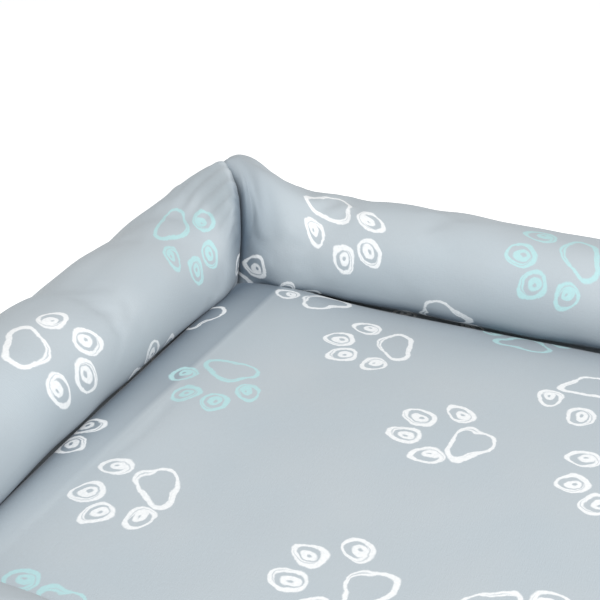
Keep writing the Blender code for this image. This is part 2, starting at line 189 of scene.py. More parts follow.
class Wall:
    """One side of the rim, built in its own frame: x along it, y out of the bed."""

    def __init__(self, name, half, out, turn, seed, first_end, crest):
        self.name = name
        self.first_end = first_end
        self.crest_line = eased(crest)
        self.half = half
        self.out = out
        self.turn = turn
        self.seed = seed
        self.inner_half = half - WALL_WIDTH

    def crest(self, x):
        """Height of the wall's top at x."""
        travelled = self.inner_half - self.first_end * x
        return CUSHION_TOP + np.interp(travelled, self.crest_line[:, 0], self.crest_line[:, 1])

    def grid(self):
        """Points by (place along, place round), and the fabric place of each."""
        half_run = ring_distances(self.inner_half)
        from_corner = np.concatenate([half_run, half_run[::-1][1:]])
        side = np.concatenate([-np.ones(len(half_run)), np.ones(len(half_run) - 1)])
        share = side * (1 - from_corner / self.inner_half)
        d = from_corner[:, None]
        across = np.broadcast_to(MID_SECTION[:, 0], (len(d), GIRTH_POINTS)).copy()
        up = np.broadcast_to(MID_SECTION[:, 1], across.shape).copy()
        crest = self.crest(share[:, None] * self.inner_half)
        inner = np.zeros(GIRTH_POINTS)
        inner[:INNER_COUNT] = np.sin(np.linspace(0.1, math.pi * 0.93, INNER_COUNT)) ** 0.7
        lean = LONG_LEAN if self.half == HALF_LENGTH else SIDE_LEAN
        across += lean * inner * np.exp(-(d / LEAN_REACH) ** 2)
        pinch = fade(d, PINCH_REACH)
        narrow = fade(d, NARROW_REACH)
        across = (1 - narrow) * across + narrow * END_SECTION[:, 0]
        up = (1 - pinch) * up + pinch * END_SECTION[:, 1]
        top = up.max(axis=1, keepdims=True)
        stretch = np.clip((up - WAIST_Z) / (top - WAIST_Z), 0, None)
        up = up + (crest - top) * stretch
        across, up = self.valley(across, up, d)
        x = share[:, None] * (self.half - across - MITRE_GAP)
        points = np.stack([x, self.out - across, up], axis=2)
        fabric_x = share[:, None] * (self.half - CONTACT) + np.zeros(across.shape)
        return points, fabric_x, from_corner, side

    def valley(self, across, up, d):
        """Rounds the end of the stuffed tube down into the corner seam."""
        middle = across.mean(axis=1, keepdims=True) + MIDDLE_SHIFT
        near = np.clip(1 - d / VALLEY_REACH, 0, 1)
        depth = VALLEY * (1 - np.sqrt(1 - near ** 2))
        depth = depth * (1 - fade(np.abs(up - UNDER_Z), VALLEY_FOOT))
        toward = unit(np.stack([middle - across, up.mean(axis=1, keepdims=True) - up], axis=2))
        return across + depth * toward[:, :, 0], up + depth * toward[:, :, 1]

    def place(self, points):
        cos, sin = math.cos(self.turn), math.sin(self.turn)
        x, y, z = points[..., 0], points[..., 1], points[..., 2]
        return np.stack([x * cos - y * sin, x * sin + y * cos, z], axis=-1)


# height of each wall's top above the cushion, (distance from the first corner, height):
# the back and front walls from the left, the side walls from the back
BACK_CREST = [(0, 0.124), (0.008, 0.124), (0.017, 0.12), (0.027, 0.1125), (0.042, 0.1045),
              (0.058, 0.093), (0.076, 0.0825), (0.094, 0.077), (0.129, 0.0765), (0.163, 0.082),
              (0.196, 0.082), (0.229, 0.083), (0.261, 0.0805), (0.292, 0.081), (0.32, 0.082),
              (0.38, 0.08), (0.45, 0.082),
              (0.52, 0.078), (0.58, 0.081), (0.62, 0.086), (0.645, 0.104), (0.662, 0.121),
              (0.6754, 0.124)]
LEFT_CREST = [(0, 0.122), (0.006, 0.124), (0.012, 0.119), (0.018, 0.107), (0.026, 0.091),
              (0.036, 0.078), (0.05, 0.073), (0.08, 0.0735), (0.122, 0.078), (0.161, 0.082),
              (0.197, 0.078), (0.235, 0.085), (0.27, 0.084), (0.34, 0.08),
              (0.4, 0.079),
              (0.43, 0.084), (0.45, 0.094), (0.464, 0.11), (0.4754, 0.114)]
RIGHT_CREST = [(0, 0.114), (0.012, 0.105), (0.028, 0.092), (0.05, 0.083), (0.1, 0.08),
               (0.17, 0.078), (0.24, 0.08), (0.31, 0.077), (0.38, 0.08), (0.43, 0.084),
               (0.45, 0.094), (0.464, 0.11), (0.4754, 0.114)]
FRONT_CREST = [(0, 0.124), (0.012, 0.121), (0.028, 0.103), (0.05, 0.086), (0.1, 0.078),
               (0.16, 0.07), (0.24, 0.056), (0.34, 0.051), (0.43, 0.057), (0.51, 0.07),
               (0.58, 0.078), (0.625, 0.086), (0.647, 0.103), (0.663, 0.121), (0.6754, 0.124)]

WALLS = [
    Wall("back_wall", HALF_LENGTH, HALF_WIDTH, 0.0, 3, -1, BACK_CREST),
    Wall("left_wall", HALF_WIDTH, HALF_LENGTH, math.pi / 2, 11, 1, LEFT_CREST),
    Wall("right_wall", HALF_WIDTH, HALF_LENGTH, -math.pi / 2, 23, -1, RIGHT_CREST),
    Wall("front_wall", HALF_LENGTH, HALF_WIDTH, math.pi, 37, 1, FRONT_CREST),
]


def smooth_mesh(name, points, faces, places, girth=math.inf):
    """A mesh whose UV layer holds each point's place on the fabric. Where the fabric closes
    round a tube, its last quad goes on by girth past the first point's place."""
    mesh = bpy.data.meshes.new(name)
    mesh.from_pydata(points, [], faces)
    layer = mesh.uv_layers.new(name="fabric")
    corner_verts = np.zeros(len(mesh.loops), int)
    mesh.loops.foreach_get("vertex_index", corner_verts)
    uv = places[corner_verts]
    for face in mesh.polygons:
        part = uv[face.loop_start:face.loop_start + face.loop_total, 1]
        if part.max() - part.min() > girth / 2:
            part[part < part.min() + girth / 2] += girth
    layer.data.foreach_set("uv", uv.ravel())
    mesh.validate()
    mesh.shade_smooth()
    return mesh


def add_object(data):
    added = bpy.data.objects.new(data.name, data)
    bpy.context.scene.collection.objects.link(added)
    return added


def add_piece(mesh, material):
    mesh.materials.append(material)
    return add_object(mesh)


def make_finer(piece):
    soften = piece.modifiers.new("finer surface", "SUBSURF")
    soften.levels = 1
    soften.render_levels = 1


def tube_faces(rows, count):
    """The quads of a tube whose points run round it, ring after ring."""
    return [(i + j, i + j + count, i + (j + 1) % count + count, i + (j + 1) % count)
            for i in range(0, (rows - 1) * count, count) for j in range(count)]


def unit(vectors):
    """Vectors along the last axis, scaled to length 1."""
    length = np.linalg.norm(vectors, axis=-1, keepdims=True)
    return vectors / np.maximum(length, 1e-12)


def outward_of(ahead):
    """Unit normals in plan of a line that runs counterclockwise, from its directions."""
    return unit(np.column_stack([ahead[:, 1], -ahead[:, 0]]))


def grid_mesh(name, points, fabric):
    """A closed tube from a grid whose second way runs round, with a strip across each end."""
    rows, count = points.shape[:2]
    faces = tube_faces(rows, count)
    for first in (0, (rows - 1) * count):
        for j in range(count // 2 - 1):
            across = (first + j, first + j + 1, first + count - 2 - j, first + count - 1 - j)
            faces.append(across if first == 0 else across[::-1])
    verts = points.reshape(-1, 3).tolist()
    return smooth_mesh(name, verts, faces, fabric.reshape(-1, 2), sum(MID_LENGTHS))


def normals_of(points):
    """Outward unit normals of a grid that is closed the second way."""
    ahead = np.gradient(points, axis=0)
    round_it = np.roll(points, -1, axis=1) - np.roll(points, 1, axis=1)
    return unit(np.cross(ahead, round_it))


def lumps(points, seed, size, strength):
    """Gentle uneven stuffing: smooth noise over the surface."""
    offset = Vector((seed * 1.7, seed * 0.9, seed * 0.3))
    flat = points.reshape(-1, 3)
    values = [noise.noise(Vector(p) / size + offset) for p in flat]
    return strength * np.array(values).reshape(points.shape[:2])


CREST_GIRTH = GIRTH[INNER_COUNT - 1]
WRINKLE_PITCH = 0.0105  # between the small folds that fan out from a side wall's corner seam
WRINKLE_DEPTH = 0.002
FAN_REACH, FAN_START = 0.045, 0.004  # how far along the wall they go, and where they start
FAN_PLACE, FAN_WIDTH = -0.012, 0.03  # and where they are round it, from its crest
GROOVE_DEPTH = 0.0038  # the soft groove beside the seam on the long walls
GROOVE_AT, GROOVE_WIDTH, GROOVE_DRIFT = 0.0085, 0.0028, 0.03
GROOVE_BOTTOM, GROOVE_TOP = 0.045, 0.1  # above the cushion
SIDE_RIDGES = ((0.0045, 0.0022), (0.0155, 0.0045))  # on either side of it: (place, width)
SIDE_RIDGE = 0.0014


def corner_folds(wall, up, from_corner, side):
    """Folds where the stuffed tubes are gathered into the corner seams."""
    d = from_corner[:, None]
    if abs(wall.turn) == math.pi / 2:
        girth = GIRTH - CREST_GIRTH
        drift = 0.9 * np.sin(side[:, None] * 2.1 + wall.seed + d * 95)
        fan = np.sin(2 * math.pi * girth / (WRINKLE_PITCH * (1 + 7 * d)) + drift)
        place = bump(girth, FAN_PLACE, FAN_WIDTH) * np.exp(-(d / FAN_REACH) ** 2)
        return WRINKLE_DEPTH * fan * (place * (1 - fade(d, FAN_START)))
    high = up - CUSHION_TOP
    height = (1 - fade(high - GROOVE_BOTTOM, 0.03)) * fade(high - GROOVE_TOP, 0.02)
    groove = -GROOVE_DEPTH * bump(d, GROOVE_AT + GROOVE_DRIFT * (high - 0.08), GROOVE_WIDTH)
    return (groove + sum(SIDE_RIDGE * bump(d, *ridge) for ridge in SIDE_RIDGES)) * height


EAR = (0.008, 0.003)  # how far the ear reaches: along the wall, up
EAR_SPREAD = (0.006, 0.01)  # how much of the cover it takes: along the wall, round it

# uneven stuffing: (size of a lump, how far it stands out)
WIDE_LUMPS, SMALL_LUMPS = (0.11, 0.003), (0.045, 0.0015)
CUSHION_WIDE_LUMPS, CUSHION_SMALL_LUMPS = (0.13, 0.0016), (0.05, 0.0005)
FOOT_STILL = 0.02  # there is none at the foot, up to this height
QUIET_REACH = 0.03  # and less of it beside the corner seams

COTTON = {"quality": 6, "mass": 0.25, "tension_stiffness": 18, "compression_stiffness": 12,
          "shear_stiffness": 6, "bending_stiffness": 0.12}
SIM_STEPS = 20
SIM_PRESSURE = 4.0
SIM_CAP = 0.007
CUSHION_PRESSURE = 1.0
CUSHION_CAP = 0.0035
SPARE_LENGTH = 1.012  # fabric cut a little longer than the wall it is gathered on
HELD_FOOT = 0.003  # the cover is held to this height above its foot
HELD_BY_CUSHION = 0.004  # and on its inner side, to this far below the cushion's top


def settle(piece, cut, pinned, pressure, cap):
    """Blows the stuffed form up as cloth cut to the shape of cut, held at its seams."""
    mesh = piece.data
    start = np.zeros(len(mesh.vertices) * 3)
    mesh.vertices.foreach_get("co", start)
    piece.shape_key_add(name="made")
    pattern = piece.shape_key_add(name="cut")
    pattern.data.foreach_set("co", np.ascontiguousarray(cut, dtype=float).ravel())
    pattern.value = 0
    group = piece.vertex_groups.new(name="seams")
    group.add([int(k) for k in pinned], 1.0, "REPLACE")
    modifier = piece.modifiers.new("stuffing", "CLOTH")
    cloth = modifier.settings
    for name, value in COTTON.items():
        setattr(cloth, name, value)
    cloth.use_pressure = True
    cloth.uniform_pressure_force = pressure
    cloth.vertex_group_mass = "seams"
    cloth.rest_shape_key = pattern
    cloth.effector_weights.gravity = 0
    modifier.point_cache.frame_start = 1
    modifier.point_cache.frame_end = SIM_STEPS
    scene = bpy.context.scene
    for step in range(1, SIM_STEPS + 1):
        scene.frame_set(step)
    shaped = piece.evaluated_get(bpy.context.evaluated_depsgraph_get())
    settled = np.zeros(len(mesh.vertices) * 3)
    shaped.data.vertices.foreach_get("co", settled)
    piece.modifiers.remove(modifier)
    piece.vertex_groups.remove(group)
    piece.shape_key_clear()
    scene.frame_set(1)
    move = (settled - start).reshape(-1, 3)
    far = np.linalg.norm(move, axis=1, keepdims=True)
    move = move * (cap * np.tanh(far / cap) / np.maximum(far, 1e-9))
    mesh.vertices.foreach_set("co", (start.reshape(-1, 3) + move).ravel())
    mesh.update()


def pull_out_ear(wall, points, from_corner, side):
    """The top of a long wall's seam stands out as a small ear over the side wall's end."""
    near = np.exp(-(from_corner / EAR_SPREAD[0]) ** 2)[:, None]
    near = near * bump(GIRTH, CREST_GIRTH, EAR_SPREAD[1])
    points[..., 0] += side[:, None] * EAR[0] * near
    points[..., 2] += EAR[1] * near


def build_wall(wall, material):
    points, fabric_x, from_corner, side = wall.grid()
    if wall.half == HALF_LENGTH:
        pull_out_ear(wall, points, from_corner, side)
    normal = normals_of(points)
    world = wall.place(points)
    free = 1 - fade(points[..., 2] - UNDER_Z, FOOT_STILL)
    quiet = 1 - 0.8 * fade(from_corner, QUIET_REACH)[:, None]
    amount = lumps(world, wall.seed, *WIDE_LUMPS) + lumps(world, wall.seed + 50, *SMALL_LUMPS)
    amount = amount * quiet + corner_folds(wall, points[..., 2], from_corner, side)
    points = points + normal * (amount * free)[..., None]
    fabric = np.stack([fabric_x, np.broadcast_to(GIRTH, fabric_x.shape)], axis=2)
    mesh = grid_mesh(wall.name, wall.place(points), fabric)
    piece = add_piece(mesh, material)
    held = np.zeros(points.shape[:2], bool)
    held[[0, 1, -2, -1]] = True
    held |= points[..., 2] < UNDER_Z + HELD_FOOT
    held[:, :INNER_COUNT] |= points[:, :INNER_COUNT, 2] < CUSHION_TOP - HELD_BY_CUSHION
    cut = wall.place(points * (SPARE_LENGTH, 1, 1))
    settle(piece, cut, np.flatnonzero(held), SIM_PRESSURE, SIM_CAP)
    make_finer(piece)
    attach(piece, "bed")
    node = wall.name.replace("wall", "bolster")
    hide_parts(node + "_cover", node + "_fill")


# ---- cushion ----

SEAM_FROM_OUTSIDE = 0.0995  # from a wall's outer face to the cushion's seam
CUSHION_HALF = (HALF_LENGTH - SEAM_FROM_OUTSIDE, HALF_WIDTH - SEAM_FROM_OUTSIDE)
CUSHION_RADIUS = 0.008
EDGE_ROUND = 0.012  # how far in the top starts to round down
EDGE_POWER = 3.0  # squareness of the rounding
CREASE_X = -HALF_LENGTH + CONTACT + 0.047  # the crease along the left wall
CREASE_TILT = 0.045  # how the crease nears the left wall towards the front
CREASE_ROUND = 0.005  # half the width over which the crease bends
STRIP_SLOPE = 0.09  # how steeply the strip beside the left wall has sunk
STRIP_FRONT, STRIP_RUN, STRIP_LEAST = -0.17, 0.22, 0.35  # where it flattens out, and to what
SEAM_SINK = 0.4  # how much of the strip's sinking its seam shares
RIDGE = 0.0055  # how far the top stands up along the crease
RIDGE_REACH, RIDGE_RUN = 0.06, 0.2  # how far across, and over what run it dies out in front
CROWN = 0.003
OUTLINE_COUNT = 240
# how far in from the seam each ring lies: underneath from the middle out, then above, back in
RINGS_UNDER = [*np.linspace(EDGE_ROUND, CUSHION_HALF[1], 22)[-2:0:-1],
               EDGE_ROUND, 0.0095, 0.007, 0.005, 0.0036, 0.0025, 0.0016, 0.0008]
RINGS_OVER = [0, 0.0008, 0.0016, 0.003, 0.005, 0.007, 0.0095, EDGE_ROUND, 0.018, 0.025,
              *np.linspace(0.03, 0.046, 11), *np.linspace(0.051, CUSHION_HALF[1], 28)[:-1]]
EVEN_INSET = 0.036  # rings keep an even border down to this depth
ZIP_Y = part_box("zip_tape_upper")[0].y - GAP
ZIP_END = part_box("zip_tape_upper")[1].x + 0.034
ZIP_BLEND = 0.008
ZIP_LOW, ZIP_HIGH = SEAM_Z - 0.02, SEAM_Z + 0.0126


def rounded_outline():
    """Points round the cushion's seam, evenly spaced."""
    inner_x, inner_y = (half - CUSHION_RADIUS for half in CUSHION_HALF)
    outline = []
    for quarter, (sx, sy) in enumerate([(1, 1), (-1, 1), (-1, -1), (1, -1)]):
        for step in range(13):
            angle = math.pi / 2 * (quarter + step / 12)
            outline.append((sx * inner_x + CUSHION_RADIUS * math.cos(angle),
                            sy * inner_y + CUSHION_RADIUS * math.sin(angle)))
    return along([*outline, outline[0]], OUTLINE_COUNT + 1)[0][:-1]


def past_crease(x, y):
    """How far x is to the right of the crease."""
    return x - CREASE_X + CREASE_TILT * (CUSHION_HALF[1] - y)


def strip_depth(x, y):
    """How far the strip left of the crease has sunk; it flattens out towards the front."""
    down = np.clip(CREASE_ROUND - past_crease(x, y), 0, None)
    bend = 2 * CREASE_ROUND
    sunk = np.where(down < bend, down ** 2 / (2 * bend), down - bend / 2)
    toward_back = np.clip((y - STRIP_FRONT) / STRIP_RUN, 0, 1)
    return STRIP_SLOPE * sunk * (STRIP_LEAST + (1 - STRIP_LEAST) * toward_back)


def cushion_top(x, y):
    """Height of the cushion's upper face away from its rounded edge."""
    crown = CROWN * (1 - (x / CUSHION_HALF[0]) ** 2) * (1 - (y / CUSHION_HALF[1]) ** 2)
    ridge = RIDGE * np.exp(-(np.clip(past_crease(x, y), 0, None) / RIDGE_REACH) ** 2)
    ridge = ridge * np.clip((y + RIDGE_RUN) / RIDGE_RUN, 0, 1)
    return CUSHION_TOP + crown + ridge - strip_depth(x, y)


def edge_drop(depth):
    """How far the face has come round towards the seam: 1 at the seam, 0 past the rounding."""
    out = 1 - min(depth / EDGE_ROUND, 1.0)
    return 1 - (1 - out ** EDGE_POWER) ** (1 / EDGE_POWER)


def shrunk(outline, depth):
    """The outline moved in by depth, down to a narrow slot in the middle."""
    half_x, half_y = CUSHION_HALF
    even = 1 - depth / half_y
    inset = 1 - depth / half_x
    near = max(0.0, 1 - depth / EVEN_INSET)
    return outline * (near * inset + (1 - near) * even, even)


def zip_recess(ring, z):
    """Pulls the rear edge in behind the zip, so that the zip lies in a channel."""
    if not ZIP_LOW < z < ZIP_HIGH:
        return ring
    inside = 1 - fade(ZIP_END - np.abs(ring[:, 0]), ZIP_BLEND)
    rear = ring[:, 1] > 0.9 * ZIP_Y
    x, y = ring.T
    return np.column_stack([x, np.where(rear, y + (np.minimum(y, ZIP_Y) - y) * inside, y)])


def spare_fabric(depth):
    """How much more cloth than plan there is from the edge's rounding out to depth."""
    depths = np.linspace(EDGE_ROUND, min(depth, EDGE_ROUND), 60)
    heights = (CUSHION_TOP - SEAM_Z) * np.array([edge_drop(d) for d in depths])
    cloth = np.hypot(np.diff(depths), np.diff(heights)).sum()
    return cloth - (depths[0] - depths[-1])


def build_cushion(material):
    """A pillow of two panels: rings shrink from the seam in to the middle, above and below."""
    outline = rounded_outline()
    rings = []
    for depth in RINGS_UNDER:
        z = CUSHION_LOW + (SEAM_Z - CUSHION_LOW) * edge_drop(depth)
        ring = zip_recess(shrunk(outline, depth), z)
        rings.append(np.column_stack([ring, np.full(OUTLINE_COUNT, z)]))
    seam_row = len(rings)
    for depth in RINGS_OVER:
        ring = shrunk(outline, depth)
        drop = edge_drop(depth)
        top = cushion_top(ring[:, 0], ring[:, 1])
        z = top + (SEAM_Z - strip_depth(ring[:, 0], ring[:, 1]) * SEAM_SINK - top) * drop
        ring = zip_recess(ring, float(np.median(CUSHION_TOP + (SEAM_Z - CUSHION_TOP) * drop)))
        rings.append(np.column_stack([ring, z]))
    points = np.array(rings)
    outward = outward_of(np.roll(outline, -1, axis=0) - np.roll(outline, 1, axis=0))
    spare = [spare_fabric(depth) for depth in (*RINGS_UNDER, *RINGS_OVER)]
    fabric = points[..., :2] + np.array(spare)[:, None, None] * outward
    normal = -normals_of(points)
    free = np.zeros(points.shape[:2])
    free[seam_row + 8:] = 1
    amount = lumps(points, 71, *CUSHION_WIDE_LUMPS) + lumps(points, 72, *CUSHION_SMALL_LUMPS)
    points = points + normal * (amount * free)[..., None]
    mesh = grid_mesh("cushion", points, fabric)
    mesh.flip_normals()
    piece = add_piece(mesh, material)
    held = np.zeros(points.shape[:2], bool)
    held[:seam_row + 4] = True
    held |= np.abs(past_crease(points[..., 0], points[..., 1])) < CREASE_ROUND
    cut = points * (SPARE_LENGTH, SPARE_LENGTH, 1)
    settle(piece, cut, np.flatnonzero(held), CUSHION_PRESSURE, CUSHION_CAP)
    make_finer(piece)
    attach(piece, "cushion")
    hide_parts("cushion_top_panel", "cushion_bottom_panel", "inner_case_top",
                "inner_case_bottom", "cushion_fill")
    return outline


def new_piece(name, points, faces, material):
    """A piece from points and faces, smooth, with its points' x and y as fabric places."""
    points = np.asarray(points, float)
    return add_piece(smooth_mesh(name, points.tolist(), faces, points[:, :2]), material)


# ---- floor of the well, and the cushion's seam ----

WELL_FROM_OUTSIDE = 0.0785  # from a wall's outer face to the edge of the well's floor
WELL_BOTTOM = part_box("base_wadding")[0].z
CHANNEL = 0.06  # between the quilting's stitch lines
CHANNEL_DIP = 0.0022
PUCKER, PUCKER_PITCH = 0.0004, 0.011  # small gathers along the stitch lines
RIM_DIP, RIM_REACH = 0.004, 0.01  # the floor turns down at its rim
FLOOR_STEPS = (0.0035, 0.012)
DOT_PITCH = 0.018
DOT_RADIUS = 0.0032
DOT_HEIGHT = 0.0004
DOT_SINK = 0.0002  # how far a dot reaches up into the fabric
DOT_MARGIN = 0.01
DOT_RINGS = ((1.0, DOT_SINK), (0.72, -0.7 * DOT_HEIGHT))  # (share of the radius, z)
CORD_RADIUS = 0.0011
SIDES = 8  # of a dot and of the cord
ROUND = [(math.cos(2 * math.pi * k / SIDES), math.sin(2 * math.pi * k / SIDES))
         for k in range(SIDES)]
CORD_SINK = 0.0004  # how far the cord is sewn into the cushion's edge
CORD_CLEAR = 0.004  # and how far from the zip's channel it ends


def build_well_floor(material):
    """Lining quilted onto its wadding in channels that run across the bed."""
    half_x, half_y = HALF_LENGTH - WELL_FROM_OUTSIDE, HALF_WIDTH - WELL_FROM_OUTSIDE
    columns, rows = (2 * int(half / step) + 1
                     for half, step in zip((half_x, half_y), FLOOR_STEPS))
    x, y = np.meshgrid(np.linspace(-half_x, half_x, columns), np.linspace(-half_y, half_y, rows))
    in_channel = np.abs((x / CHANNEL) % 1 - 0.5) * 2
    dip = CHANNEL_DIP * np.sqrt(np.clip(in_channel, 0, 1)) ** 5
    edge = np.minimum(half_x - np.abs(x), half_y - np.abs(y))
    dip = np.maximum(dip, RIM_DIP * fade(edge, RIM_REACH))
    pucker = np.sin(y * 2 * math.pi / PUCKER_PITCH + 3 * np.sin(x * 40)) * PUCKER * in_channel
    top = WELL_FLOOR - dip - np.abs(pucker)
    low = np.full(x.shape, WELL_BOTTOM)
    points = np.concatenate([np.stack([x, y, z], 2).reshape(-1, 3) for z in (top, low)])
    faces = []
    under = columns * rows
    for first in range(0, under - columns, columns):
        for a in range(first, first + columns - 1):
            quad = (a, a + 1, a + columns + 1, a + columns)
            faces += [quad, tuple(under + k for k in quad[::-1])]
    rim = [*range(columns), *range(2 * columns - 1, under, columns),
           *range(under - 2, under - columns - 1, -1), *range(under - 2 * columns, 0, -columns)]
    for a, b in zip(rim, rim[1:] + rim[:1]):
        faces.append((b, a, under + a, under + b))
    piece = new_piece("well_floor", points, faces, material)
    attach(piece, "bed")
    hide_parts("base_lining", "base_wadding")


def build_grip_dots(material):
    """Rows of low rubber domes printed on the underside of the bottom sheet."""
    half_x, half_y = (size - DOT_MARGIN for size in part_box("base_bottom_sheet")[1][:2])
    points, faces = [], []
    rows = 2 * int(half_y / DOT_PITCH) + 1
    for row in range(rows):
        y = (row - rows // 2) * DOT_PITCH
        shift = DOT_PITCH / 2 * (row % 2)
        count = int((half_x - shift) / DOT_PITCH)
        for column in range(-count - row % 2, count + 1):
            x = column * DOT_PITCH + shift
            first = len(points)
            for share, z in DOT_RINGS:
                reach = share * DOT_RADIUS
                points += [(x + reach * cos, y + reach * sin, z) for cos, sin in ROUND]
            points.append((x, y, -DOT_HEIGHT))
            for side in range(SIDES):
                a, b = first + side, first + (side + 1) % SIDES
                faces.append((b, a, a + SIDES, b + SIDES))
                faces.append((b + SIDES, a + SIDES, first + 2 * SIDES))
            faces.append(tuple(range(first, first + SIDES)))
    piece = new_piece("grip_dots", points, faces, material)
    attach(piece, "bed")


def build_seam_cord(outline, material):
    """A thin sewn cord round the cushion's seam, ending on either side of the zip."""
    beside_zip = (np.abs(outline[:, 0]) < ZIP_END + CORD_CLEAR) & (outline[:, 1] > 0)
    start = int(np.flatnonzero(beside_zip)[-1]) + 1
    line = np.roll(outline, -start, axis=0)
    line = line[:len(outline) - int(beside_zip.sum())]
    outward = outward_of(np.gradient(line, axis=0))
    sunk = SEAM_Z - SEAM_SINK * strip_depth(line[:, 0], line[:, 1])
    middle = line + outward * (CORD_RADIUS - CORD_SINK)
    points = []
    for k in range(len(line)):
        for cos, sin in ROUND:
            flat = middle[k] + outward[k] * CORD_RADIUS * cos
            points.append((*flat, sunk[k] + CORD_RADIUS * sin))
    faces = tube_faces(len(line), SIDES)
    faces.append(tuple(range(SIDES)))
    faces.append(tuple(range(len(points) - 1, len(points) - 1 - SIDES, -1)))
    piece = new_piece("cushion_seam_cord", points, faces, material)
    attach(piece, "cushion")


# ---- materials ----

FABRIC_COLOUR = (0.512, 0.562, 0.594)
FABRIC_COOL = (0.486, 0.549, 0.59)
# painted shade: the colour the cloth is darkened towards in its corners, seams and contacts
PAINTED_SHADE_COLOUR = (0.13, 0.18, 0.235)
WHITE_INK = (0.93, 0.945, 0.95)
MINT_INK = (0.48, 0.73, 0.745)
LINING_COLOURS = (0.47, 0.5, 0.52), (0.54, 0.565, 0.585)
CORD_COLOURS = (0.4, 0.45, 0.485), (0.46, 0.51, 0.545)


def math_node(operation, clamp=False):
    """A method that adds a Math node to the number's tree."""
    def add_node(self, *others):
        values = (self, *others)
        node = new_node(self.tree, "Math", range(3), values, operation=operation,
                        use_clamp=clamp)
        return Num(node.outputs[0])
    return add_node


class Num:
    """A number in a material's node tree; arithmetic on it adds Math nodes."""

    __add__, __sub__ = math_node("ADD"), math_node("SUBTRACT")
    __mul__, __truediv__ = math_node("MULTIPLY"), math_node("DIVIDE")
    __pow__, __abs__ = math_node("POWER"), math_node("ABSOLUTE")
    sine, cosine, angle_of = math_node("SINE"), math_node("COSINE"), math_node("ARCTAN2")
    root, bounce, larger = math_node("SQRT"), math_node("PINGPONG"), math_node("MAXIMUM")
    over, under = math_node("GREATER_THAN"), math_node("LESS_THAN")
    clamped_line = math_node("MULTIPLY_ADD", clamp=True)

    def __init__(self, socket):
        self.socket = socket
        self.tree = socket.id_data

    def __rsub__(self, other):
        return self * -1.0 + other

    def ramp(self, slope, start=0.5):
        """A straight line through start, kept between 0 and 1."""
        return self.clamped_line(slope, start)

    def fading(self, reach):
        """1 where this is 0 or less, falling to 0 at reach."""
        return self.ramp(-1 / reach, 1.0)

    def below(self, limit, softness):
        """1 where this is under limit, 0 above it, with a narrow soft edge."""
        return (self - limit).ramp(-1 / softness)


def feed(node, inputs, values):
    """Links each value into the node's input, or sets it there."""
    for name, value in zip(inputs, values):
        socket = node.inputs[name]
        if isinstance(value, (Num, bpy.types.NodeSocket)):
            node.id_data.links.new(getattr(value, "socket", value), socket)
        else:
            socket.default_value = (*value, 1) if socket.type == "RGBA" else value


def new_node(tree, kind, inputs=(), values=(), **settings):
    node = tree.nodes.new("ShaderNode" + kind)
    for name, setting in settings.items():
        setattr(node, name, setting)
    feed(node, inputs, values)
    return node


def split(vector):
    return [Num(axis) for axis in new_node(vector.id_data, "SeparateXYZ", [0], [vector]).outputs]


def join(x, y, z=0.0):
    tree = next(axis.tree for axis in (x, y, z) if isinstance(axis, Num))
    return new_node(tree, "CombineXYZ", range(3), (x, y, z)).outputs[0]


def vector_node(operation, *values):
    return new_node(values[0].id_data, "VectorMath", range(2), values, operation=operation)


def vector_calc(operation, a, b):
    return vector_node(operation, a, b).outputs[0]


def length_of(vector):
    return Num(vector_node("LENGTH", vector).outputs["Value"])


def scaled(vector, factor):
    node = vector_node("SCALE", vector)
    feed(node, ["Scale"], [factor])
    return node.outputs[0]


def noise_node(vector, scale, detail=1.0):
    return new_node(vector.id_data, "TexNoise", ("Vector", "Scale", "Detail"),
                    (vector, scale, detail))


def noise_of(vector, scale, detail=1.0):
    """A noise texture's value, centred on 0."""
    return Num(noise_node(vector, scale, detail).outputs["Fac"]) - 0.5


def mix(factor, a, b, kind="RGBA"):
    """a where factor is 0, b where it is 1: two colours, or two vectors."""
    first, result = {"VECTOR": (4, 1), "RGBA": (6, 2)}[kind]
    node = new_node(factor.tree, "Mix", ("Factor", first, first + 1), (factor, a, b),
                    data_type=kind)
    return node.outputs[result]


def largest(first, *others):
    for other in others:
        first = first.larger(other)
    return first


# ---- the print: paws drawn with a brush ----

PAW_REACH = 0.05  # nothing of a paw is further from its middle
BRUSH_EDGE = 0.0009
HAND_WOBBLE, HAND_TREMBLE = 0.0065, 0.0016
# toes as (x, y, half length, half width, lean in degrees from the paw's own up)
TOES = [(0.0325, -0.004, 0.0135, 0.0105, -28), (0.012, 0.022, 0.014, 0.0112, -8),
        (-0.0145, 0.0205, 0.014, 0.011, 12), (-0.0305, -0.006, 0.0135, 0.0102, 32)]
# a toe's strokes on an egg of size 1: (radius, half its width, how it swells on one side)
TOE_LINE, TOE_SECOND, TOE_DAB = (0.86, 0.115, -0.055), (0.74, 0.055, 0.05), (0.52, 0.34, 0.12)
PAD_PLACE = (0.001, -0.026)
PAD_SIZE = (0.0245, 0.016)
# the pad's two strokes: (radius, half its width)
PAD_LINE, PAD_SECOND = (0.88, 0.085), (0.84, 0.05)


def ring_stroke(x, y, stroke, swell, edge):
    """A brushed ring round the middle."""
    radius, half_width, swelling = stroke
    off = abs((x * x + y * y).root() - radius)
    return (off + swell * swelling).below(half_width, edge)


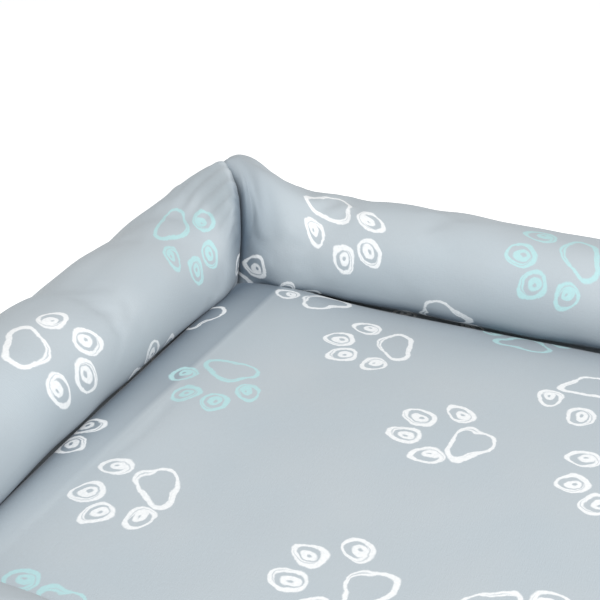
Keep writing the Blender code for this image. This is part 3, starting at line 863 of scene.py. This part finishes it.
def draw_toe(x, y, toe, phase):
    """An egg drawn twice round, with a dab of ink inside."""
    cx, cy, half_length, half_width, lean = toe
    cos, sin = math.cos(math.radians(lean)), math.sin(math.radians(lean))
    dx, dy = x - cx, y - cy
    across = (dx * cos + dy * sin) / half_width
    up = (dy * cos - dx * sin) / half_length
    across = across * (up * 0.22 + 1.0)
    swell = (up.angle_of(across) + phase).sine()
    edge = BRUSH_EDGE / half_width
    second_x, second_y = across + 0.1 * math.cos(phase), up - 0.1 * math.sin(phase)
    dab_x, dab_y = across * 2.0 + 0.35 * math.cos(phase + 2), (up + 0.16) * 1.75
    return largest(ring_stroke(across, up, TOE_LINE, swell, edge),
                   ring_stroke(second_x, second_y, TOE_SECOND, swell, edge),
                   ring_stroke(dab_x, dab_y, TOE_DAB, swell, 2 * edge))


def draw_pad(x, y, phase):
    """A rounded, slightly bean-shaped outline drawn with two crossing lines."""
    dx = (x - PAD_PLACE[0]) / PAD_SIZE[0]
    dy = (y - PAD_PLACE[1]) / PAD_SIZE[1]
    turn = dy.angle_of(dx)
    lobes = (turn * 3.0 + phase).cosine() * 0.14
    lean = (turn + phase * 0.7).cosine() * 0.08
    swell = (turn + phase * 1.3).sine() * 0.035
    crossing = (turn * 2.0 + phase).sine() * 0.11
    edge = BRUSH_EDGE / PAD_SIZE[1]
    rim = (dx * dx + dy * dy).root() - lobes - lean
    line = (abs(rim - PAD_LINE[0]) - swell).below(PAD_LINE[1], edge)
    return line.larger(abs(rim - crossing - PAD_SECOND[0]).below(PAD_SECOND[1], edge))


def paw_group():
    """A node group: from a place on the paw, in metres, to how much ink is there."""
    tree = bpy.data.node_groups.new("paw print", "ShaderNodeTree")
    tree.interface.new_socket("Place", in_out="INPUT", socket_type="NodeSocketVector")
    tree.interface.new_socket("Variety", in_out="INPUT", socket_type="NodeSocketFloat")
    tree.interface.new_socket("Ink", in_out="OUTPUT", socket_type="NodeSocketFloat")
    entry = tree.nodes.new("NodeGroupInput")
    leave = tree.nodes.new("NodeGroupOutput")
    place = entry.outputs["Place"]
    variety = Num(entry.outputs["Variety"])
    shifted = vector_calc("ADD", place, join(0.0, 0.0, variety))
    slow = noise_node(shifted, 55.0).outputs["Color"]
    quick = noise_node(shifted, 260.0).outputs["Color"]
    drawn = place
    for noise_colour, size in ((slow, HAND_WOBBLE), (quick, HAND_TREMBLE)):
        shake = vector_calc("SUBTRACT", noise_colour, (0.5, 0.5, 0.5))
        drawn = vector_calc("ADD", drawn, scaled(shake, size))
    x, y, _ = split(drawn)
    toes = [draw_toe(x, y, toe, 1.1 + 1.9 * index) for index, toe in enumerate(TOES)]
    feed(leave, ["Ink"], [largest(draw_pad(x, y, variety * 2.1), *toes)])
    return tree


# where each panel's paws lie: (along, across, direction of the toes in degrees, mint or not)
WALL_PAWS = {
    "back_wall": [(-0.231, 0.067, -72, False), (-0.05, 0.071, -156, True),
                  (-0.139, -0.022, -90, False), (-0.284, -0.026, 75, False),
                  (-0.361, 0.0035, 112, False)],
    "left_wall": [(0.172, 0.071, -82, True), (-0.031, 0.065, -49, False),
                  (0.072, -0.0125, 120, False), (0.267, 0.019, 90, False)]}
CUSHION_PAWS = [(-0.273, 0.053, -99, True), (-0.185, 0.165, -157, False),
                (-0.088, 0.06, 172, False), (0.012, 0.15, -75, False),
                (-0.262, 0.248, 124, False), (-0.064, 0.257, 90, True),
                (-0.366, 0.161, 180, False), (-0.357, -0.045, 0, False)]
CUSHION_PRINT_SEED = 5
# how dark the painted shade is, and how far it reaches: on the cushion's strip and along its back,
# then on the walls beside their seams
STRIP_TINT = 0.46
BACK_TINT = 0.4
BACK_TINT_REACH = 0.14
SEAM_TINT = 0.85
SEAM_TINT_REACH = 0.016
# how far from its corner seams a wall has painted shade, and how far up a long one has it
CORNER_TINT_REACH = {HALF_LENGTH: 0.06, HALF_WIDTH: 0.048}
LONG_TINT_HEIGHT = 0.15
LOWER_TOP = 0.078  # the seam's shade is deeper below this height up a wall
LOWER_REACH = 0.038
LOWER_SEAM_TINT = 0.4  # added to the seam's shade there
NOOK_REACH = (0.075, 0.05)  # shade in the nook between two walls and the cushion
NOOK_TINT = 0.75
WIDE_TINT = 0.3  # painted shade over the lower half of a wall's inner side
WIDE_TINT_REACH = 0.06
FOOT_TINT_REACH = 0.03  # under the cushion's top, where all the painted shade fades out again
LOW_TINT = 0.85
LOW_TINT_REACH = 0.027
LEFT_TINT = 0.5  # painted shade on the cushion, close under the left wall
LEFT_TINT_REACH = 0.032
PRINT_PITCH = 0.155  # between the paws that are scattered
PAW_CLEARANCE = 0.1  # none of them lies nearer to a placed paw
PAW_SCATTER = 0.42  # how far they stray from an even lattice, of 1
MINT_SHARE = 0.4
CLOTH_GLOSS = 0.25


def printed_fabric(name, paws, paw, seed, painted_shade=None):
    """Smooth cotton in two close greys, printed with white and mint paws; the last argument gives
    how much painted shade darkens the cloth, from the place on it, where the cloth folds in and
    shadow falls."""
    material, tree = new_material(name)
    place = new_node(tree, "UVMap", uv_map="fabric").outputs[0]
    # scattered paws, one in each cell of a loose lattice
    start = (seed, seed * 0.37, 0)
    shifted = vector_calc("ADD", scaled(place, 1 / PRINT_PITCH), start)
    cells = new_node(tree, "TexVoronoi", ("Vector", "Scale", "Randomness"),
                     (shifted, 1.0, PAW_SCATTER), voronoi_dimensions="2D")
    middle = vector_calc("SUBTRACT", cells.outputs["Position"], start)
    middle = scaled(middle, PRINT_PITCH)
    random_a, random_b, random_c = split(cells.outputs["Color"])
    from_middle = vector_calc("SUBTRACT", place, middle)
    local = new_node(tree, "VectorRotate", ("Vector", "Angle"),
                     (from_middle, random_a * (2 * math.pi)), rotation_type="Z_AXIS").outputs[0]
    mint = random_b.over(1 - MINT_SHARE)
    variety = random_c * 5.0
    lattice, placed = random_b * 0.0 + 1.0, random_b * 0.0
    for index, (along_it, across_it, toes, is_mint) in enumerate(paws):
        here = new_node(tree, "Mapping", ("Vector", "Location", "Rotation"),
                        (place, (along_it, across_it, 0), (0, 0, math.radians(toes - 90))),
                        vector_type="TEXTURE").outputs[0]
        inside = length_of(here).under(PAW_REACH)
        local = mix(inside, local, here, "VECTOR")
        outside = 1.0 - inside
        mint = mint * outside + inside * float(is_mint)
        variety = variety * outside + inside * (0.7 * index + 0.4)
        gap = length_of(vector_calc("SUBTRACT", middle, (along_it, across_it, 0)))
        lattice = lattice * gap.over(PAW_CLEARANCE)
        placed = placed.larger(inside)
    stamp = new_node(tree, "Group", ("Place", "Variety"), (local, variety), node_tree=paw)
    ink = Num(stamp.outputs["Ink"]) * lattice.larger(placed)
    cloud = noise_of(place, 11.0, 2.0)
    cloth = mix(cloud.ramp(2.2), FABRIC_COLOUR, FABRIC_COOL)
    # painted shade: darker cloth where shadow falls in corners, seams and contacts
    if painted_shade:
        cloth = mix(painted_shade(place), cloth, PAINTED_SHADE_COLOUR)
    thin = noise_of(place, 420.0, 1.0)
    colour = mix(mint, WHITE_INK, MINT_INK)
    x, y, _ = split(place)
    warp = noise_of(join(x * 1400.0, y * 160.0), 1.0)
    weft = noise_of(join(x * 160.0, y * 1400.0), 1.0)
    return finished(material, mix(ink * thin.ramp(0.5, 0.93), cloth, colour),
                    warp + weft, 0.0004, 0.35, roughness=0.88, sheen=0.12,
                    sheen_roughness=0.5, specular=CLOTH_GLOSS)


def cushion_painted_shade(place):
    """Painted shade on the cushion: on its strip along the left wall, left of its crease, along
    the back wall, and close under the left wall.
    """
    x, y, _ = split(place)
    beyond = x + (y * -1.0 + CUSHION_HALF[1]) * CREASE_TILT
    beside = beyond.below(CREASE_X, 0.006)
    toward_back = (y - STRIP_FRONT).ramp(1 / 0.24, 0.1)
    strip = beside * toward_back * STRIP_TINT
    near_back = (CUSHION_HALF[1] - y).fading(BACK_TINT_REACH)
    near_left = (x + (HALF_LENGTH - CONTACT)).fading(LEFT_TINT_REACH)
    edges = near_back * near_back * BACK_TINT + near_left * near_left * LEFT_TINT
    return (strip + edges).ramp(1.0, 0.0)


def wall_painted_shade(half, reach):
    """Painted shade where a wall's cloth turns in: beside its corner seams, and under, to the
    cushion.
    """
    def painted_shade(place):
        x, y, _ = split(place)
        to_seam = half - CONTACT - abs(x)
        lower = y.ramp(-1 / LOWER_REACH, LOWER_TOP / LOWER_REACH)
        height = lower if half == HALF_WIDTH else y.fading(LONG_TINT_HEIGHT)
        corner = to_seam.fading(reach) ** 1.5 * height
        nook = (to_seam.fading(NOOK_REACH[0]) * y.fading(NOOK_REACH[1])) ** 0.7 * NOOK_TINT
        seam = to_seam.fading(SEAM_TINT_REACH) * y.below(CREST_GIRTH - 0.02, 0.02)
        seam = seam * (lower * LOWER_SEAM_TINT + SEAM_TINT)
        low = y.fading(LOW_TINT_REACH)
        wide = y.fading(WIDE_TINT_REACH) * WIDE_TINT
        above_foot = y.ramp(1 / FOOT_TINT_REACH, 1.0)
        return largest(corner, nook, seam, low * low * LOW_TINT, wide) * above_foot
    return painted_shade


def new_material(name):
    material = bpy.data.materials.new(name)
    material.use_nodes = True
    return material, material.node_tree


def placed_material(name):
    """A new material, and the place on the object in metres."""
    material, tree = new_material(name)
    return material, new_node(tree, "TexCoord").outputs["Object"]


SHADER_INPUTS = {"roughness": "Roughness", "sheen": "Sheen Weight", "metallic": "Metallic",
                 "sheen_roughness": "Sheen Roughness", "specular": "Specular IOR Level"}


def finished(material, colour, relief, depth, strength=0.6, **settings):
    """Gives a material its colour, a bump that is depth deep, and the shader's settings."""
    tree = material.node_tree
    shader = tree.nodes["Principled BSDF"]
    bumps = new_node(tree, "Bump", ("Strength", "Distance", "Height"), (strength, depth, relief))
    feed(shader, ("Base Color", "Normal"), (colour, bumps.outputs[0]))
    feed(shader, [SHADER_INPUTS[name] for name in settings], settings.values())
    return material


def repeats(value, pitch):
    """0 to 1 and back as value moves by one pitch."""
    return (value / (pitch / 2)).bounce(1.0)


def plain_cloth(name, light, dark, thread):
    """Woven cloth of one colour: threads over and under, a few thicker, mottled a little."""
    material, place = placed_material(name)
    x, y, z = split(place)
    across = repeats(x, thread) * repeats(y + z, thread)
    slub = noise_of(join(x * 900.0, (y + z) * 60.0), 1.0)
    cloud = noise_of(place, 16.0, 2.0)
    colour = mix((cloud + slub * 0.6).ramp(1.6), light, dark)
    return finished(material, colour, across + slub, 0.0003, roughness=0.9, sheen=0.2,
                    specular=CLOTH_GLOSS)


def grip_felt():
    """Dark felt-like fabric under the bed."""
    material, place = placed_material("non_slip_felt")
    fibres = noise_of(place, 900.0, 2.0)
    cloud = noise_of(place, 14.0, 2.0)
    mottle = (cloud + fibres * 0.7).ramp(1.4)
    felt = mix(mottle, (0.06, 0.066, 0.072), (0.098, 0.104, 0.112))
    return finished(material, felt, fibres, 0.0004, roughness=0.94, sheen=0.15)


def grip_rubber():
    """Soft matt rubber, dusty in places."""
    material, place = placed_material("non_slip_rubber")
    dust = noise_of(place, 70.0, 2.0)
    grain = noise_of(place, 2200.0, 1.0)
    colour = mix(dust.ramp(1.6), (0.02, 0.021, 0.023), (0.045, 0.047, 0.05))
    return finished(material, colour, grain, 0.0001, 0.4, roughness=0.55)


STITCH_ROW, STITCH_WIDTH, STITCH_PITCH = 0.0065, 0.0007, 0.0034  # the row is off the seam


def zip_tape_cloth():
    """Twill tape with a row of stitches along its middle."""
    material, place = placed_material("zip_tape_twill")
    x, _, z = split(place)
    twill = repeats(x + z, 0.0009)
    in_row = abs(abs(z - SEAM_Z) - STITCH_ROW).below(STITCH_WIDTH / 2, 0.0002)
    stitch = in_row * repeats(x, STITCH_PITCH).below(0.66, 0.1)
    cloud = noise_of(place, 60.0, 2.0)
    tone = (cloud + (twill - 0.5) * 0.4).ramp(1.4)
    tape = mix(tone, (0.3, 0.34, 0.37), (0.365, 0.405, 0.435))
    return finished(material, mix(stitch, tape, (0.7, 0.73, 0.75)), twill * 0.6 + stitch,
                    0.0003, roughness=0.8, sheen=0.15)


def nylon_teeth():
    """Coiled nylon, smooth: a bead at each turn, with painted light and shade, lighter on each
    bead and darker between them.
    """
    material, place = placed_material("zip_teeth_nylon")
    x, _, _ = split(place)
    turn = repeats(x, 0.0016)
    grain = noise_of(place, 300.0, 1.0)
    # painted light and shade: the colour follows each bead's bump, with a little random grain
    shade = (turn + grain * 0.3).ramp(1.0, 0.0)
    colour = mix(shade, (0.13, 0.15, 0.165), (0.42, 0.46, 0.49))
    return finished(material, colour, turn.root(), 0.0005, roughness=0.38)


def brushed_zinc():
    """Die-cast zinc with a fine grain and lightly rubbed patches."""
    material, place = placed_material("zip_zinc")
    x, y, z = split(place)
    grain = noise_of(join(x * 250.0, y * 2500.0, z * 2500.0), 1.0)
    worn = noise_of(place, 180.0, 2.0)
    colour = mix((grain * 0.5 + worn).ramp(1.5), (0.48, 0.49, 0.5), (0.68, 0.69, 0.7))
    return finished(material, colour, grain, 0.00008, 0.4, metallic=1.0,
                    roughness=worn * 0.35 + 0.34)


def satin_label():
    """A blank satin ribbon with fine floats across it."""
    material, place = placed_material("label_satin")
    x, _, z = split(place)
    floats = repeats(z, 0.0005)
    cloud = noise_of(join(x * 40.0, z * 400.0), 1.0)
    tone = (cloud + (floats - 0.5) * 0.3).ramp(1.5)
    colour = mix(tone, (0.84, 0.84, 0.83), (0.92, 0.92, 0.91))
    return finished(material, colour, floats, 0.0001, roughness=0.42, sheen=0.25)


# ---- stage: floor, light and camera ----

SKY = 0.42
KEY_POWER = 76
KEY_SIZE = 1.1
KEY_PLACE, KEY_AIM = (1.25, -1.45, 2.15), (0, 0, 0.05)
FLOOR_GLOW = 0.45
FLOOR_Z = -0.0005  # just below the grip dots


def build_stage():
    floor_mesh = bpy.data.meshes.new("floor")
    floor_mesh.from_pydata([(-6, -6, 0), (6, -6, 0), (6, 6, 0), (-6, 6, 0)], [], [(0, 1, 2, 3)])
    floor = add_object(floor_mesh)
    floor.location.z = FLOOR_Z
    material, tree = new_material("floor")
    shader = tree.nodes["Principled BSDF"]
    feed(shader, ("Base Color", "Roughness", "Emission Color", "Emission Strength"),
         ((0.93, 0.93, 0.93), 0.9, (1, 1, 1), FLOOR_GLOW))
    floor_mesh.materials.append(material)
    world = bpy.data.worlds.new("studio")
    world.use_nodes = True
    feed(world.node_tree.nodes["Background"], ("Color", "Strength"), ((1, 1, 1), SKY))
    bpy.context.scene.world = world
    light = bpy.data.lights.new("softbox", "AREA")
    light.energy = KEY_POWER
    light.size = KEY_SIZE
    lamp = add_object(light)
    lamp.location = KEY_PLACE
    aim = Vector(KEY_AIM) - lamp.location
    lamp.rotation_euler = aim.to_track_quat("-Z", "Y").to_euler()
    bpy.context.scene.view_settings.view_transform = "Standard"


CAMERA_FROM_CORNER = Vector((0.4403, -0.8811, 0.4903))
CAMERA_DOWN = 27.4
CAMERA_TURN = 23.12
CAMERA_LENS = 68.5


def build_camera():
    data = bpy.data.cameras.new("camera")
    data.lens = CAMERA_LENS
    data.sensor_width = 36
    camera = add_object(data)
    corner = Vector((-HALF_LENGTH + CONTACT, HALF_WIDTH - CONTACT, CUSHION_TOP))
    camera.location = corner + CAMERA_FROM_CORNER
    camera.rotation_euler = (math.radians(90 - CAMERA_DOWN), 0, math.radians(CAMERA_TURN))
    bpy.context.scene.camera = camera


build_stage()
build_camera()
paw = paw_group()
for wall in WALLS:
    # painted shade for the wall's corner seams, its nook and its foot
    tint = wall_painted_shade(wall.half, CORNER_TINT_REACH[wall.half])
    paws = WALL_PAWS.get(wall.name, [])
    build_wall(wall, printed_fabric(wall.name + "_fabric", paws, paw, wall.seed, tint))
# the cushion's cloth carries painted shade by the left and back walls
seam_outline = build_cushion(
    printed_fabric("cushion_fabric", CUSHION_PAWS, paw, CUSHION_PRINT_SEED, cushion_painted_shade))
build_well_floor(plain_cloth("lining_cotton", *LINING_COLOURS, 0.0011))
build_seam_cord(seam_outline, plain_cloth("cord_cotton", *CORD_COLOURS, 0.0009))
build_grip_dots(grip_rubber())

# the CAD nodes that stay, by the material they get
for material, names in (
        (grip_felt(), ["base_bottom_sheet"]),
        (satin_label(), ["care_label"]),
        (zip_tape_cloth(), ["zip_tape_upper", "zip_tape_lower"]),
        (nylon_teeth(), ["zip_coil_upper", "zip_coil_lower"]),
        (brushed_zinc(), ["zip_slider", "zip_pull", "zip_top_stop", "zip_bottom_stop"])):
    for name in names:
        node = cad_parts[name]
        node.data.materials.clear()
        node.data.materials.append(material)
